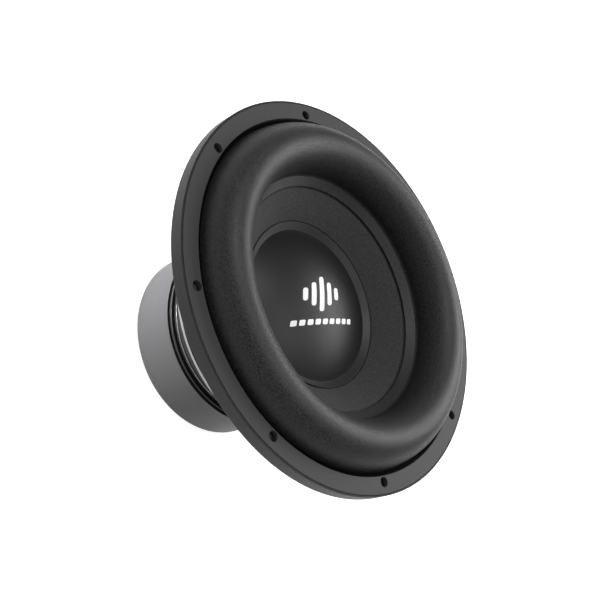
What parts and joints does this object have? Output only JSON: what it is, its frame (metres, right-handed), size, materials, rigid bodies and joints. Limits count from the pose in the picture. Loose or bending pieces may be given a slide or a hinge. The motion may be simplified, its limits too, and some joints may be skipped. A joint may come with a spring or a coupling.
{
  "type": "car subwoofer speaker",
  "caption": "Round car subwoofer driver with a high-roll surround, vented motor in a smooth boot, open basket and push terminals; the cone travels along its axis.",
  "frame": {"origin": "centre of the flat back of the motor boot, which the driver stands on", "axes": "+Z along the speaker axis, out of the front of the cone; the two terminal blocks lie on +X and -X"},
  "size_m": [0.316, 0.316, 0.18],
  "materials": {
    "black_paint": "satin black powder coat",
    "gasket_rubber": "matt rubber",
    "surround_rubber": "satin, fine-grained",
    "cone_pulp": "matt pressed fibre",
    "dust_cap_pulp": "satin coated fibre",
    "boot_rubber": "satin",
    "ferrite": "ground ferrite",
    "plated_steel": "zinc plated",
    "spring_steel": "drawn wire",
    "bare_aluminium": "turned",
    "copper_wire": "enamelled copper wire",
    "former_film": "polyimide film",
    "spider_cloth": "resin-treated weave",
    "kraft_paper": "brown paper",
    "terminal_plastic": "moulded",
    "red_plastic": "moulded",
    "black_plastic": "moulded",
    "tinned_brass": "tinned",
    "tinsel_braid": "braided metal thread"
  },
  "bodies": {
    "frame": {"basket": "black_paint", "button_spring_a_minus": "spring_steel", "button_spring_a_plus": "spring_steel", "button_spring_b_minus": "spring_steel", "button_spring_b_plus": "spring_steel", "contact_tab_a_minus": "tinned_brass", "contact_tab_a_plus": "tinned_brass", "contact_tab_b_minus": "tinned_brass", "contact_tab_b_plus": "tinned_brass", "front_gasket": "gasket_rubber", "magnet": "ferrite", "motor_boot": "boot_rubber", "motor_screw_1": "plated_steel", "motor_screw_2": "plated_steel", "motor_screw_3": "plated_steel", "motor_screw_4": "plated_steel", "motor_screw_5": "plated_steel", "motor_screw_6": "plated_steel", "shorting_ring": "bare_aluminium", "spider": "spider_cloth", "spider_clamp_ring": "black_plastic", "surround": "surround_rubber", "t_yoke": "plated_steel", "terminal_block_a": "terminal_plastic", "terminal_block_b": "terminal_plastic", "terminal_screw_a_1": "plated_steel", "terminal_screw_a_2": "plated_steel", "terminal_screw_b_1": "plated_steel", "terminal_screw_b_2": "plated_steel", "tinsel_lead_a_minus": "tinsel_braid", "tinsel_lead_a_plus": "tinsel_braid", "tinsel_lead_b_minus": "tinsel_braid", "tinsel_lead_b_plus": "tinsel_braid", "top_plate": "black_paint", "vent_grille": "black_plastic"},
    "cone": {"cone": "cone_pulp", "dust_cap": "dust_cap_pulp", "coil_former": "former_film", "former_collar": "kraft_paper", "voice_coil_inner": "copper_wire", "voice_coil_outer": "copper_wire"},
    "push_button_a_minus": {"push_button_a_minus": "black_plastic"},
    "push_button_a_plus": {"push_button_a_plus": "red_plastic"},
    "push_button_b_minus": {"push_button_b_minus": "black_plastic"},
    "push_button_b_plus": {"push_button_b_plus": "red_plastic"}
  },
  "joints": [
    {"name": "cone_travel", "type": "slide", "parent": "frame", "child": "cone", "axis": [0, 0, 1], "range_m": [-0.014, 0.014], "stiffness_N_per_m": 5000, "deforming": ["surround", "spider", "tinsel_lead_a_minus", "tinsel_lead_a_plus", "tinsel_lead_b_minus", "tinsel_lead_b_plus"]},
    {"name": "push_button_a_minus_press", "type": "slide", "parent": "frame", "child": "push_button_a_minus", "axis": [-1, 0, 0], "range_m": [0, 0.003], "stiffness_N_per_m": 900, "springref_m": -0.0015, "deforming": ["button_spring_a_minus"]},
    {"name": "push_button_a_plus_press", "type": "slide", "parent": "frame", "child": "push_button_a_plus", "axis": [-1, 0, 0], "range_m": [0, 0.003], "stiffness_N_per_m": 900, "springref_m": -0.0015, "deforming": ["button_spring_a_plus"]},
    {"name": "push_button_b_minus_press", "type": "slide", "parent": "frame", "child": "push_button_b_minus", "axis": [1, 0, 0], "range_m": [0, 0.003], "stiffness_N_per_m": 900, "springref_m": -0.0015, "deforming": ["button_spring_b_minus"]},
    {"name": "push_button_b_plus_press", "type": "slide", "parent": "frame", "child": "push_button_b_plus", "axis": [1, 0, 0], "range_m": [0, 0.003], "stiffness_N_per_m": 900, "springref_m": -0.0015, "deforming": ["button_spring_b_plus"]}
  ]
}
